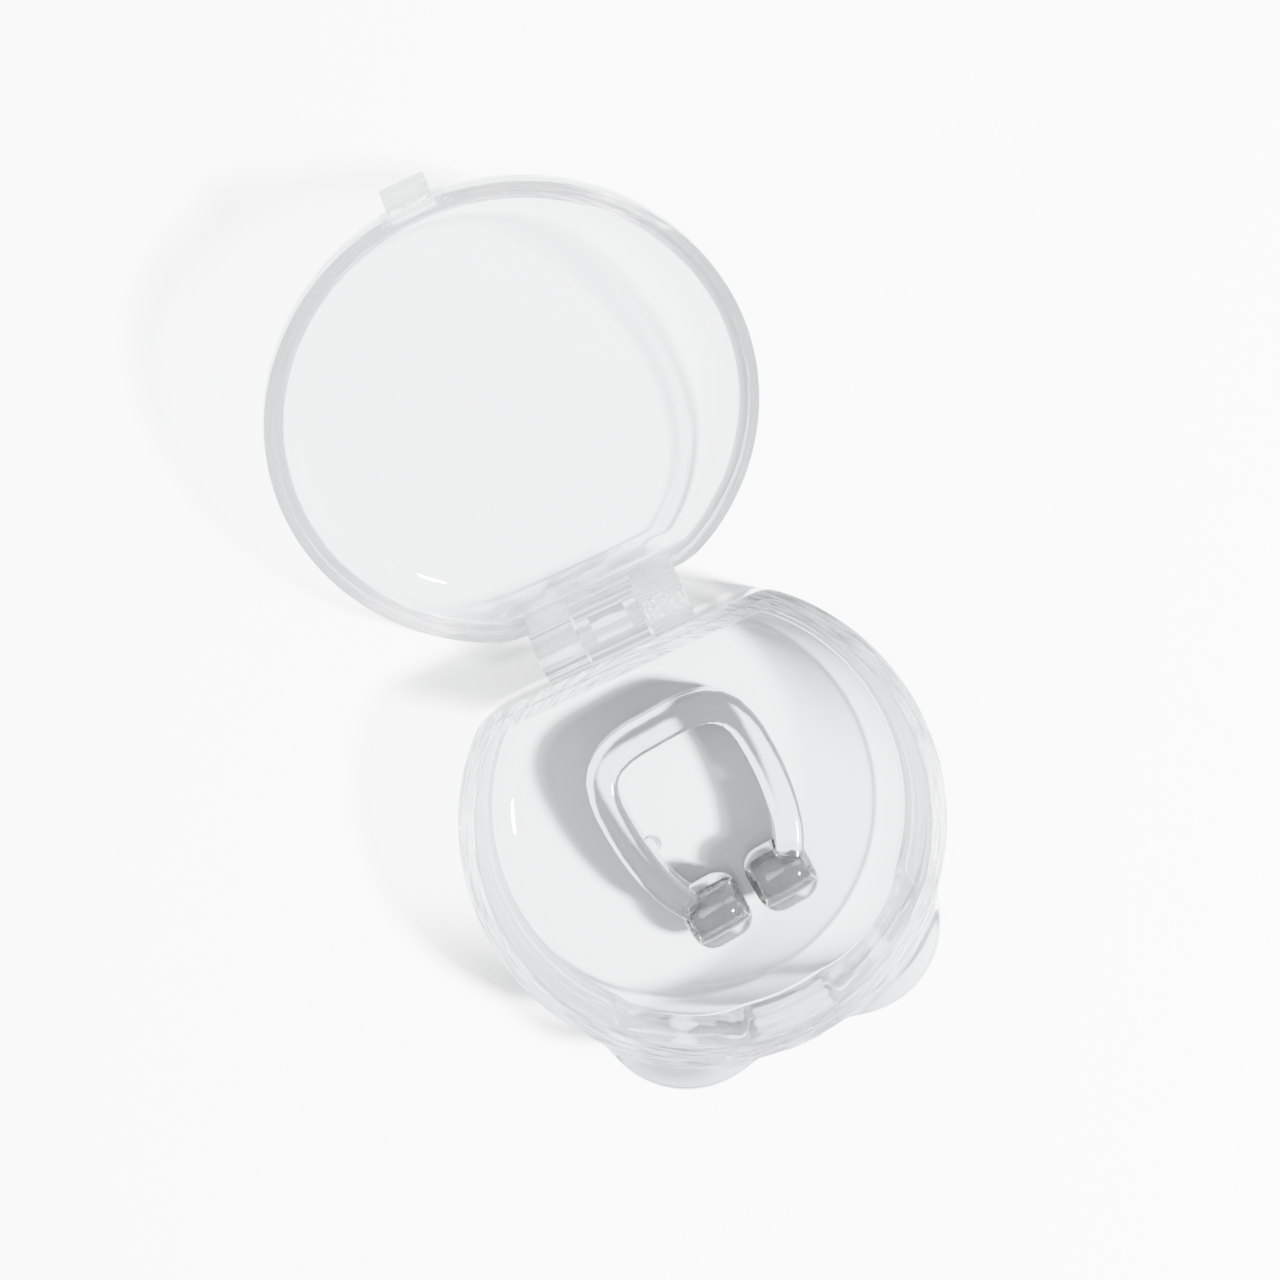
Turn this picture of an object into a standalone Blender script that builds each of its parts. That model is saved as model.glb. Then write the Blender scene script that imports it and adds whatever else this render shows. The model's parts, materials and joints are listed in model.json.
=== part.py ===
"""A round flip-top case of clear polystyrene, lying open, with a silicone nose clip in it.

X runs along the hinge, +Y is the hinge side and the base stands on z = 0, centred on its round wall.
The case has two mouldings, the base and the lid, joined by stub pins. The clip has two magnets.
"""

import math

import bmesh
import bpy
from mathutils import Vector

MM = 0.001

# Base: a round tray cut straight on its hinge side, with two finger lobes at its front.
BASE_RADIUS = 18.5 * MM
BASE_FOOT_RADIUS = 18.2 * MM
BASE_FLAT = 14.25 * MM
BASE_HEIGHT = 13.0 * MM
BASE_FOOT_EDGE = 0.6 * MM
FLOOR = 1.3 * MM
FLAT_WALL = 1.45 * MM
BASE_MOUTH_RADIUS = 17.2 * MM
BASE_WELL_RADIUS = 16.6 * MM
FLOOR_FILLET = 2.7 * MM
FLAT_FILLET_SHARE = 0.3
CORNER_SOFTNESS = 0.5 * MM
HINGE_SIDE = -0.1
LIP_RADIUS = 17.85 * MM
LIP_HEIGHT = 0.6 * MM

LOBE_ANGLE = math.radians(30)
LOBE_RADIUS = 7.0 * MM
LOBE_CENTRE = 13.6 * MM
LOBE_SOFTNESS = 0.35 * MM
LOBE_TOP = 12.0 * MM
LOBE_SHOULDER = 0.35 * MM
LOBE_SHOULDER_REACH = 0.8

# Lid: a shallow round dish. Its sizes are given closed, over the base.
PARTING_GAP = 0.15 * MM
LID_RADIUS = 18.8 * MM
LID_FACET = 17.1 * MM
LID_HEIGHT = 5.0 * MM
LID_EDGE = 4.0 * MM
LID_TOP_WALL = 1.2 * MM
LID_MOUTH_RADIUS = 17.3 * MM
LID_WELL_RADIUS = 16.7 * MM
LID_FACET_WALL = 1.8 * MM
LID_FILLET = 2.4 * MM
REBATE_RADIUS = 18.05 * MM
REBATE_DEPTH = 0.7 * MM
REBATE_FACET_INSET = 0.5 * MM
LID_OPEN = math.radians(151)

# Hinge: one knuckle on the base between two arms of the lid, whose stub pins sit in its sockets.
HINGE_Y = 16.35 * MM
HINGE_Z = 8.2 * MM
KNUCKLE_RADIUS = 2.0 * MM
KNUCKLE_HALF_WIDTH = 2.45 * MM
WEB_DROP = 0.8 * MM
ARM_INNER = 2.7 * MM
ARM_OUTER = 6.2 * MM
ARM_FRONT = -0.4 * MM
ARM_BACK = 1.5 * MM
ARM_TOP = 7.6 * MM
ARM_TOP_SLOPE = 0.4 * MM
ARM_SHOULDER = 6.0 * MM
ARM_HEEL = 2.4 * MM
STOP_FACE = 2.0 * MM
STOP_DEPTH = 2.6 * MM
STOP_THICKNESS = 1.2 * MM
PIN_RADIUS = 0.8 * MM
PIN_LENGTH = 1.1 * MM
PIN_LEAD_IN = 0.2 * MM
SOCKET_RADIUS = 0.9 * MM
SOCKET_DEPTH = 1.0 * MM

# Latch: a tongue on the lid's front, between the lobes, with a hook that snaps under a ridge.
TONGUE_HALF_WIDTH = 1.7 * MM
RIDGE_HALF_WIDTH = 1.4 * MM

# The mark left by the moulding gate, a shallow dimple in the lid's facet; its place is on the closed lid.
GATE_PLACE = Vector((-1.3, 17.5, 16.4)) * MM
GATE_RADIUS = 1.2 * MM

# Two ejector marks on the top of the base's straight wall.
MARK_X = 9.0 * MM
MARK_Y = 13.35 * MM
MARK_RADIUS = 0.65 * MM
MARK_DEPTH = 0.2 * MM

# Clip: a U of silicone that lies on its edge, with a pod round a magnet at each tip.
CLIP_PLACE = Vector((0.22, -0.65, 4.3)) * MM
CLIP_TURN = math.radians(4.5)
CLIP_HEIGHT = 5.0 * MM
CLIP_EDGE = 0.7 * MM
POD_X = 3.0 * MM
POD_Y = -7.0 * MM
POD_RADIUS = 2.75 * MM
POD_HALF_LENGTH = 2.55 * MM
POD_EDGE = 1.7 * MM
NUB_RADIUS = 0.75 * MM
NUB_PLACE = (4.75 * MM, 0.1 * MM)
MAGNET_RADIUS = 1.4 * MM
MAGNET_LENGTH = 3.6 * MM
MAGNET_CHAMFER = 0.2 * MM
POCKET_GAP = 0.15 * MM
POCKET_HOLE_RADIUS = 0.8 * MM

OUTLINE_POINTS = 120
FILLET_STEPS = 5
ROUND_POINTS = 24
POD_POINTS = 32
JOIN_OVERLAP = 0.5 * MM


def clear_scene():
    for old in list(bpy.data.objects):
        bpy.data.objects.remove(old, do_unlink=True)


def make_material(name, colour, roughness, metallic=0.0, transmission=0.0, ior=1.5):
    material = bpy.data.materials.new(name)
    material.use_nodes = True
    shader = material.node_tree.nodes["Principled BSDF"]
    shader.inputs["Base Color"].default_value = (*colour, 1.0)
    shader.inputs["Roughness"].default_value = roughness
    shader.inputs["Metallic"].default_value = metallic
    shader.inputs["Transmission Weight"].default_value = transmission
    shader.inputs["IOR"].default_value = ior
    return material


def make_object(name, shape, material=None):
    """A mesh object from a bmesh, its faces turned outwards and its round sides shaded smooth."""
    bmesh.ops.recalc_face_normals(shape, faces=shape.faces)
    mesh = bpy.data.meshes.new(name)
    shape.to_mesh(mesh)
    shape.free()
    mesh.shade_smooth()
    mesh.set_sharp_from_angle(angle=math.radians(30))
    made = bpy.data.objects.new(name, mesh)
    bpy.context.scene.collection.objects.link(made)
    if material:
        mesh.materials.append(material)
    return made


def combine(target, tool, operation):
    """Joins a helper to the target, or cuts it away, and keeps the helper out of the render."""
    tool.hide_render = True
    tool.display_type = "WIRE"
    tool.parent = target
    modifier = target.modifiers.new(tool.name, "BOOLEAN")
    modifier.operation = operation
    modifier.object = tool


def loft(loops):
    """A closed solid through loops of equally many points, with a flat cap on the first and the last."""
    shape = bmesh.new()
    rings = [[shape.verts.new(point) for point in loop] for loop in loops]
    for lower, upper in zip(rings, rings[1:]):
        for i, corner in enumerate(lower):
            j = (i + 1) % len(lower)
            shape.faces.new((corner, lower[j], upper[j], upper[i]))
    shape.faces.new(rings[0])
    shape.faces.new(rings[-1])
    return shape


def extrude_along_x(profile, x_from, x_to):
    """A prism whose outline is a list of (y, z) points."""
    return loft([[Vector((x, y, z)) for y, z in profile] for x in (x_from, x_to)])


def turn_about_x(profile, points=ROUND_POINTS):
    """A turned solid from (x, radius) points, on the X axis."""
    angles = [2 * math.pi * i / points for i in range(points)]
    return loft(
        [[Vector((x, r * math.cos(a), r * math.sin(a))) for a in angles] for x, r in profile]
    )


def arc(centre, radius, start, end, steps):
    """Points of an arc, angles in radians, both ends included."""
    turns = (start + (end - start) * i / steps for i in range(steps + 1))
    return [(centre[0] + radius * math.cos(t), centre[1] + radius * math.sin(t)) for t in turns]


def soft_positive(value, softness):
    """The value where it is positive and nothing where it is negative, with a rounded change."""
    return 0.5 * (value + math.hypot(value, softness))


def lobe_reach(angle):
    """How far a lobe stands out of the wall in one direction, where angle 0 is the front."""
    offset = abs(angle) - LOBE_ANGLE
    across = LOBE_CENTRE * math.sin(offset)
    if abs(across) >= LOBE_RADIUS:
        return 0.0
    reach = LOBE_CENTRE * math.cos(offset) + math.sqrt(LOBE_RADIUS**2 - across**2)
    return soft_positive(reach - BASE_RADIUS, LOBE_SOFTNESS)


def outline(z, radius, flat, lobes=0.0):
    """A round outline at height z, cut straight at y = flat, with the lobes' reach times lobes.

    Its points start at the middle of the hinge side, and only those that face that side can be cut.
    """
    loop = []
    for i in range(OUTLINE_POINTS):
        angle = 2 * math.pi * (i + 0.5) / OUTLINE_POINTS - math.pi
        reach = radius + lobes * lobe_reach(angle)
        if math.cos(angle) < HINGE_SIDE:
            reach -= soft_positive(reach + flat / math.cos(angle), CORNER_SOFTNESS)
        loop.append(Vector((reach * math.sin(angle), -reach * math.cos(angle), z)))
    return loop


def fillet_steps(count=FILLET_STEPS):
    """(sine, cosine) at even steps of a quarter turn, both ends included."""
    turns = (math.pi / 2 * i / count for i in range(count + 1))
    return [(math.sin(t), math.cos(t)) for t in turns]


def base_shell():
    """The tray, from its foot up its outside, over its stepped rim and down its inside."""
    loops = []
    for inset, height in ((1, 0), (1 / 3, 1 / 3), (0, 1)):
        edge = BASE_FOOT_EDGE * inset
        loops.append(outline(BASE_FOOT_EDGE * height, BASE_FOOT_RADIUS - edge, BASE_FLAT - edge, 1))
    ledge = BASE_HEIGHT - LIP_HEIGHT
    lip_flat = BASE_FLAT - (BASE_RADIUS - LIP_RADIUS)
    inner_flat = BASE_FLAT - FLAT_WALL
    loops += [
        outline(LOBE_TOP - LOBE_SHOULDER, BASE_RADIUS, BASE_FLAT, 1),
        outline(LOBE_TOP, BASE_RADIUS, BASE_FLAT, LOBE_SHOULDER_REACH),
        outline(LOBE_TOP + LOBE_SHOULDER / 4, BASE_RADIUS, BASE_FLAT),
        outline(ledge, BASE_RADIUS, BASE_FLAT),
        outline(ledge, LIP_RADIUS, lip_flat),
        outline(BASE_HEIGHT, LIP_RADIUS, lip_flat),
        outline(BASE_HEIGHT, BASE_MOUTH_RADIUS, inner_flat),
    ]
    draft = BASE_MOUTH_RADIUS - BASE_WELL_RADIUS
    for sine, cosine in fillet_steps():
        inset = draft + FLOOR_FILLET * (1 - cosine)
        height = FLOOR + FLOOR_FILLET * (1 - sine)
        flat = inner_flat - inset * FLAT_FILLET_SHARE
        loops.append(outline(height, BASE_MOUTH_RADIUS - inset, flat))
    return loft(loops)


def base_knuckle():
    """The middle knuckle, with a web that runs into the straight wall."""
    root = BASE_FLAT - JOIN_OVERLAP - HINGE_Y
    barrel = arc((0, 0), KNUCKLE_RADIUS, -math.pi / 2, math.pi / 2, 12)
    profile = [(root, -KNUCKLE_RADIUS - WEB_DROP), *barrel, (root, KNUCKLE_RADIUS)]
    placed = [(HINGE_Y + y, HINGE_Z + z) for y, z in profile]
    return extrude_along_x(placed, -KNUCKLE_HALF_WIDTH, KNUCKLE_HALF_WIDTH)


def latch_ridge():
    """The ridge that the lid's hook snaps under."""
    profile = [(-18.2, 12.0), (-18.62, 11.85), (-18.7, 11.7), (-18.62, 11.5), (-18.2, 11.3)]
    placed = [(y * MM, z * MM) for y, z in profile]
    return extrude_along_x(placed, -RIDGE_HALF_WIDTH, RIDGE_HALF_WIDTH)


def disc(x, y, z_from, z_to, radius):
    """An upright cylinder."""
    angles = [2 * math.pi * i / ROUND_POINTS for i in range(ROUND_POINTS)]
    ring = [(x + radius * math.cos(a), y + radius * math.sin(a)) for a in angles]
    return loft([[Vector((px, py, z)) for px, py in ring] for z in (z_from, z_to)])


def pin_socket(side):
    """The blind hole in one end of the knuckle."""
    mouth = side * (KNUCKLE_HALF_WIDTH + JOIN_OVERLAP)
    bottom = side * (KNUCKLE_HALF_WIDTH - SOCKET_DEPTH)
    socket = turn_about_x([(mouth, SOCKET_RADIUS), (bottom, SOCKET_RADIUS)])
    bmesh.ops.translate(socket, verts=socket.verts, vec=(0, HINGE_Y, HINGE_Z))
    return socket


def ejector_mark(side):
    """A shallow round mark in the top of the straight wall."""
    return disc(side * MARK_X, MARK_Y, BASE_HEIGHT - MARK_DEPTH, BASE_HEIGHT + MARK_DEPTH, MARK_RADIUS)


def make_base(material):
    base = make_object("case_base", base_shell(), material)
    combine(base, make_object("base_knuckle_tool", base_knuckle()), "UNION")
    combine(base, make_object("latch_ridge_tool", latch_ridge()), "UNION")
    for side, name in ((-1, "left"), (1, "right")):
        combine(base, make_object(f"socket_{name}_tool", pin_socket(side)), "DIFFERENCE")
        combine(base, make_object(f"ejector_mark_{name}_tool", ejector_mark(side)), "DIFFERENCE")
    return base


def lid_shell():
    """The dish, closed over the base, from its top down its outside and up its inside.

    Inside, the facet is one plane, which cuts the round corner of the dish in an arc.
    """
    rim = BASE_HEIGHT + PARTING_GAP
    top = rim + LID_HEIGHT
    loops = []
    for sine, cosine in fillet_steps():
        inset = LID_EDGE * (1 - sine)
        loops.append(outline(top - LID_EDGE * (1 - cosine), LID_RADIUS - inset, LID_FACET - inset))
    loops += [
        outline(rim, LID_RADIUS, LID_FACET),
        outline(rim, REBATE_RADIUS, LID_FACET - REBATE_FACET_INSET),
        outline(rim + REBATE_DEPTH, REBATE_RADIUS, LID_FACET - REBATE_FACET_INSET),
        outline(rim + REBATE_DEPTH, LID_MOUTH_RADIUS, LID_FACET - LID_FACET_WALL),
    ]
    draft = LID_MOUTH_RADIUS - LID_WELL_RADIUS
    ceiling = top - LID_TOP_WALL
    for sine, cosine in fillet_steps():
        radius = LID_MOUTH_RADIUS - draft - LID_FILLET * (1 - cosine)
        height = ceiling - LID_FILLET * (1 - sine)
        loops.append(outline(height, radius, LID_FACET - LID_FACET_WALL))
    return loft(loops)


def closed_from_open(y, z):
    """A point given round the hinge with the lid open, turned back to the closed lid."""
    sine, cosine = math.sin(LID_OPEN), math.cos(LID_OPEN)
    return y * cosine - z * sine, y * sine + z * cosine


def hinge_arm(side):
    """An arm of the lid: barrel, strap up to the dish, and the heel that stops on the base."""
    start = math.asin(-ARM_FRONT / KNUCKLE_RADIUS) + math.pi / 2
    heel_start = closed_from_open(-STOP_FACE, 0)
    end = math.atan2(heel_start[1], heel_start[0]) + 2 * math.pi
    profile = [((ARM_BACK + ARM_FRONT) / 2, ARM_TOP), (ARM_FRONT, ARM_TOP - ARM_TOP_SLOPE)]
    profile += arc((0, 0), KNUCKLE_RADIUS, start, end, 18)
    profile += [
        closed_from_open(-STOP_FACE, -STOP_DEPTH),
        closed_from_open(-STOP_FACE + STOP_THICKNESS, -STOP_DEPTH),
        (ARM_BACK, ARM_HEEL),
        (ARM_BACK, ARM_SHOULDER),
    ]
    placed = [(HINGE_Y + y, HINGE_Z + z) for y, z in profile]
    inner, outer = sorted((side * ARM_INNER, side * ARM_OUTER))
    return extrude_along_x(placed, inner, outer)


def hinge_pin(side):
    """A stub pin on the inner face of an arm, with a small lead-in."""
    tip = side * (ARM_INNER - PIN_LENGTH)
    shoulder = tip + side * PIN_LEAD_IN
    root = side * (ARM_INNER + JOIN_OVERLAP)
    pin = turn_about_x([(tip, PIN_RADIUS - PIN_LEAD_IN), (shoulder, PIN_RADIUS), (root, PIN_RADIUS)])
    bmesh.ops.translate(pin, verts=pin.verts, vec=(0, HINGE_Y, HINGE_Z))
    return pin


def latch_tongue():
    """The thumb tab and its tongue, outside the base's wall, with a hook at its end."""
    profile = [
        (-18.3, 13.9), (-18.3, 16.0), (-19.4, 16.0), (-19.9, 15.7), (-20.1, 15.2),
        (-20.1, 11.3), (-19.95, 10.9), (-19.6, 10.7), (-19.2, 10.7), (-18.9, 10.95),
        (-18.9, 11.15), (-19.05, 11.35), (-19.05, 13.3), (-18.7, 13.9),
    ]
    placed = [(y * MM, z * MM) for y, z in profile]
    return extrude_along_x(placed, -TONGUE_HALF_WIDTH, TONGUE_HALF_WIDTH)


def gate_mark():
    """The ball that sinks the gate's dimple into the facet."""
    ball = bmesh.new()
    bmesh.ops.create_uvsphere(ball, u_segments=24, v_segments=12, radius=GATE_RADIUS)
    bmesh.ops.translate(ball, verts=ball.verts, vec=GATE_PLACE)
    return ball


def make_lid(material):
    """The lid, its origin on the hinge axis and turned to its open stop."""
    shapes = {"lid": lid_shell(), "tongue": latch_tongue(), "gate": gate_mark()}
    for side, name in ((-1, "left"), (1, "right")):
        shapes[f"arm_{name}"] = hinge_arm(side)
        shapes[f"pin_{name}"] = hinge_pin(side)
    for shape in shapes.values():
        bmesh.ops.translate(shape, verts=shape.verts, vec=(0, -HINGE_Y, -HINGE_Z))
    lid = make_object("case_lid", shapes.pop("lid"), material)
    for name, shape in shapes.items():
        operation = "DIFFERENCE" if name == "gate" else "UNION"
        combine(lid, make_object(f"lid_{name}_tool", shape), operation)
    lid.location = (0, HINGE_Y, HINGE_Z)
    lid.rotation_euler.x = -LID_OPEN
    return lid


def clip_route():
    """The middle line of the U as (point, thickness), from the left pod round to the right pod."""
    half = [
        ((0, 8.15), 2.7), ((3.2, 8.0), 2.7), ((5.2, 7.1), 2.6), ((6.15, 5.3), 2.4), ((6.35, 2.6), 2.4),
        ((6.1, -0.6), 2.4), ((5.4, -3.6), 2.3), ((4.3, -5.8), 2.2),
    ]
    left = [((-x, y), t) for (x, y), t in reversed(half[1:])]
    return [(Vector((x, y, 0)) * MM, t * MM) for (x, y), t in left + half]


def smooth_route(stations, steps=4):
    """Catmull-Rom points between the stations, with their thickness run in between."""
    points = [stations[0], *stations, stations[-1]]
    route = []
    for before, start, end, after in zip(points, points[1:], points[2:], points[3:]):
        for i in range(steps):
            t = i / steps
            ends = (end[0] - start[0]) * t + start[0]
            bend = (before[0] - start[0]) * (-t * (1 - t) ** 2) + (after[0] - end[0]) * (-(t**2) * (1 - t))
            bend += (end[0] - start[0]) * (t * (1 - t) * (1 - 2 * t))
            route.append((ends + bend * 0.5, start[1] + (end[1] - start[1]) * t))
    return route + [stations[-1]]


def clip_band():
    """The U as a band on edge, its section a rectangle with rounded corners."""
    route = smooth_route(clip_route())
    loops = []
    for i, (place, thickness) in enumerate(route):
        along = (route[min(i + 1, len(route) - 1)][0] - route[max(i - 1, 0)][0]).normalized()
        across = Vector((along.y, -along.x, 0))
        section = []
        for sx, sz, start in ((1, 1, 0), (-1, 1, 90), (-1, -1, 180), (1, -1, 270)):
            centre = (sx * (thickness / 2 - CLIP_EDGE), sz * (CLIP_HEIGHT / 2 - CLIP_EDGE))
            section += arc(centre, CLIP_EDGE, math.radians(start), math.radians(start + 90), 3)
        loops.append([place + across * a + Vector((0, 0, b)) for a, b in section])
    return loft(loops)


def clip_pod(side):
    """A round pod on its side, with rounded ends."""
    end = [
        (-POD_HALF_LENGTH + POD_EDGE * (1 - sine), POD_RADIUS - POD_EDGE * (1 - cosine))
        for cosine, sine in fillet_steps()
    ]
    profile = sorted(end)
    profile += [(-x, radius) for x, radius in reversed(profile)]
    pod = turn_about_x(profile, POD_POINTS)
    bmesh.ops.translate(pod, verts=pod.verts, vec=(side * POD_X, POD_Y, 0))
    return pod


def magnet_pocket(side):
    """The hollow round a magnet, with the small hole in the pod's outer end that it goes in by."""
    half = MAGNET_LENGTH / 2 + POCKET_GAP
    radius = MAGNET_RADIUS + POCKET_GAP
    outside = POD_HALF_LENGTH + JOIN_OVERLAP
    steps = [(-half, radius), (half, radius), (half, POCKET_HOLE_RADIUS), (outside, POCKET_HOLE_RADIUS)]
    pocket = turn_about_x([(side * x, r) for x, r in steps])
    bmesh.ops.translate(pocket, verts=pocket.verts, vec=(side * POD_X, POD_Y, 0))
    return pocket


def grip_nub(side):
    """A small round nub on the inner face of an arm of the U."""
    nub = bmesh.new()
    bmesh.ops.create_uvsphere(nub, u_segments=16, v_segments=8, radius=NUB_RADIUS)
    bmesh.ops.translate(nub, verts=nub.verts, vec=(side * NUB_PLACE[0], NUB_PLACE[1], 0))
    return nub


def make_clip(material):
    clip = make_object("nose_clip", clip_band(), material)
    for side, name in ((-1, "left"), (1, "right")):
        combine(clip, make_object(f"pod_{name}_tool", clip_pod(side)), "UNION")
        combine(clip, make_object(f"nub_{name}_tool", grip_nub(side)), "UNION")
        combine(clip, make_object(f"pocket_{name}_tool", magnet_pocket(side)), "DIFFERENCE")
    clip.location = CLIP_PLACE
    clip.rotation_euler.z = CLIP_TURN
    return clip


def make_magnet(side, name, clip, material):
    """A plated cylinder with chamfered ends, centred in its pod."""
    half = MAGNET_LENGTH / 2
    profile = [
        (-half, MAGNET_RADIUS - MAGNET_CHAMFER), (-half + MAGNET_CHAMFER, MAGNET_RADIUS),
        (half - MAGNET_CHAMFER, MAGNET_RADIUS), (half, MAGNET_RADIUS - MAGNET_CHAMFER),
    ]
    magnet = make_object(f"magnet_{name}", turn_about_x(profile), material)
    magnet.parent = clip
    magnet.location = (side * POD_X, POD_Y, 0)


def main():
    clear_scene()
    polystyrene = (0.93, 0.95, 0.97)
    make_base(make_material("base_clear", polystyrene, 0.05, transmission=1.0, ior=1.59))
    make_lid(make_material("lid_clear", polystyrene, 0.05, transmission=1.0, ior=1.59))
    clip = make_clip(make_material("clip_silicone", (0.94, 0.95, 0.96), 0.15, transmission=1.0, ior=1.41))
    for side, name in ((-1, "left"), (1, "right")):
        nickel = make_material(f"magnet_{name}_nickel", (0.62, 0.62, 0.63), 0.18, metallic=1.0)
        make_magnet(side, name, clip, nickel)


main()
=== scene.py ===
"""The looks of a clear flip-top case that lies open with a silicone nose clip in it.

Each visible piece is built again at full smoothness in the place of its CAD node, in the CAD's own
frame: X runs along the hinge, +Y is the hinge side and the case stands on z = 0.
"""

import json
import math

import bmesh
import bpy
from mathutils import Matrix, Vector


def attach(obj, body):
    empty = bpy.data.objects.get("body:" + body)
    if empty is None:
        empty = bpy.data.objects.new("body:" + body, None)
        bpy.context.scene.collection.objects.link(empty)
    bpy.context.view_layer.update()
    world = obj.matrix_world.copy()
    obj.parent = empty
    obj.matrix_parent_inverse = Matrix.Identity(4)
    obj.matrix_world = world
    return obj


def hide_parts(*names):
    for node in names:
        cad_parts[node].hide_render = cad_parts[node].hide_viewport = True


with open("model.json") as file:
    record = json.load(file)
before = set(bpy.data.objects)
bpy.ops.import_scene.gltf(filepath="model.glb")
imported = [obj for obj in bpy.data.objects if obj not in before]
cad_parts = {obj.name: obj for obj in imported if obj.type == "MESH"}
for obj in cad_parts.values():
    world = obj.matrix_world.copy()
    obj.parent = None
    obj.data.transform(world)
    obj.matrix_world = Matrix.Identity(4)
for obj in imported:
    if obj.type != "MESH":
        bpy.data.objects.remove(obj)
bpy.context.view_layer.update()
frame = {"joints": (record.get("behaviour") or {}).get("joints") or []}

MM = 0.001

# The driving sizes below repeat the CAD model's.
BASE_RADIUS = 18.5
BASE_FOOT_RADIUS = 18.2
BASE_FLAT = 14.25
BASE_HEIGHT = 13.0
BASE_FOOT_EDGE = 0.6
FLOOR = 1.3
FLAT_WALL = 1.45
BASE_MOUTH_RADIUS = 17.2
BASE_WELL_RADIUS = 16.6
FLOOR_FILLET = 2.7
FLAT_FILLET_SHARE = 0.3
LIP_RADIUS = 17.85
LIP_HEIGHT = 0.6

LOBE_ANGLE = math.radians(30)
LOBE_RADIUS = 7.0
LOBE_CENTRE = 13.6
LOBE_SOFTNESS = 0.35
LOBE_TOP = 12.0
LOBE_SHOULDER = 0.35
LOBE_PEAK = LOBE_CENTRE + LOBE_RADIUS - BASE_RADIUS

PARTING_GAP = 0.15
LID_RADIUS = 18.8
LID_FACET = 17.1
LID_HEIGHT = 5.0
LID_EDGE = 4.0
LID_TOP_WALL = 1.2
LID_MOUTH_RADIUS = 17.3
LID_WELL_RADIUS = 16.7
LID_FACET_WALL = 1.8
LID_FILLET = 2.4
REBATE_RADIUS = 18.05
REBATE_DEPTH = 0.7
REBATE_FACET_INSET = 0.5

KNUCKLE_RADIUS = 2.0
KNUCKLE_HALF_WIDTH = 2.45
WEB_DROP = 0.8
ARM_INNER = 2.7
ARM_OUTER = 6.2
ARM_FRONT = -0.4
ARM_BACK = 1.5
ARM_TOP = 7.6
ARM_TOP_SLOPE = 0.4
ARM_SHOULDER = 6.0
ARM_HEEL = 2.4
STOP_FACE = 2.0
STOP_DEPTH = 2.6
STOP_THICKNESS = 1.2
PIN_RADIUS = 0.8
PIN_LENGTH = 1.1
PIN_LEAD_IN = 0.2
SOCKET_RADIUS = 0.9
SOCKET_DEPTH = 1.0

TONGUE_HALF_WIDTH = 1.7
RIDGE_HALF_WIDTH = 1.4
GATE_PLACE = Vector((-1.3, 17.5, 16.4))
GATE_RADIUS = 1.2
MARK_X = 9.0
MARK_Y = 13.35
MARK_RADIUS = 0.65
MARK_DEPTH = 0.2

CLIP_PLACE = Vector((0.22, -0.65, 4.3))
CLIP_TURN = math.radians(4.5)
CLIP_HEIGHT = 5.0
CLIP_EDGE = 0.7
POD_X = 3.0
POD_Y = -7.0
POD_RADIUS = 2.75
POD_HALF_LENGTH = 2.55
POD_EDGE = 1.7
NUB_RADIUS = 0.75
NUB_PLACE = (4.75, 0.1)
MAGNET_RADIUS = 1.4
MAGNET_LENGTH = 3.6
MAGNET_CHAMFER = 0.2
POCKET_SQUEEZE = 0.03
POCKET_HOLE_RADIUS = 0.8

# The hinge's axis and the lid's swing come from the record's joint.
HINGE = next(joint for joint in frame["joints"] if joint["name"] == "lid_hinge")
HINGE_Y, HINGE_Z = (HINGE["pos_m"][1] / MM, HINGE["pos_m"][2] / MM)
LID_OPEN = math.radians(HINGE["range_deg"][1])

# Fineness of the meshes, and the small rounding of moulded edges.
OUTLINE_POINTS = 480
ROUND_POINTS = 72
ARC_STEPS = 5
FILLET_STEPS = 14
EDGE = 0.12
CORNER_SOFTNESS = 0.5
FACET_SOFTNESS = 0.04
HINGE_SIDE = -0.1
CAP_RING = 0.4
JOIN_OVERLAP = 0.5

# How deep the moulding streaks on the stepped rims are, and how far from the parting they are whole
# and end. They fade out over STREAK_FADE at the lobes and at the inside of the straight wall. The
# same zone carries the painted shade of the rims.
RIM_STREAKS = 1.6
STREAK_WHOLE = 0.8
STREAK_END = 1.6
STREAK_FADE = 0.2


# ---------------------------------------------------------------------------
# Mesh helpers. Sizes are in millimetres until a mesh is made.
# ---------------------------------------------------------------------------


def loft(loops):
    """A closed solid through loops of equally many points, with a flat cap on the first and the last."""
    shape = bmesh.new()
    rings = [[shape.verts.new(point) for point in loop] for loop in loops]
    for lower, upper in zip(rings, rings[1:]):
        for i, corner in enumerate(lower):
            j = (i + 1) % len(lower)
            shape.faces.new((corner, lower[j], upper[j], upper[i]))
    shape.faces.new(rings[0])
    shape.faces.new(rings[-1])
    return shape


def make_object(name, shape):
    """A mesh object in metres from a bmesh in millimetres, with its faces outwards."""
    bmesh.ops.recalc_face_normals(shape, faces=shape.faces)
    if shape.calc_volume(signed=True) < 0:
        bmesh.ops.reverse_faces(shape, faces=shape.faces)
    bmesh.ops.scale(shape, verts=shape.verts, vec=(MM, MM, MM))
    mesh = bpy.data.meshes.new(name)
    shape.to_mesh(mesh)
    shape.free()
    made = bpy.data.objects.new(name, mesh)
    bpy.context.scene.collection.objects.link(made)
    return made


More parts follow.
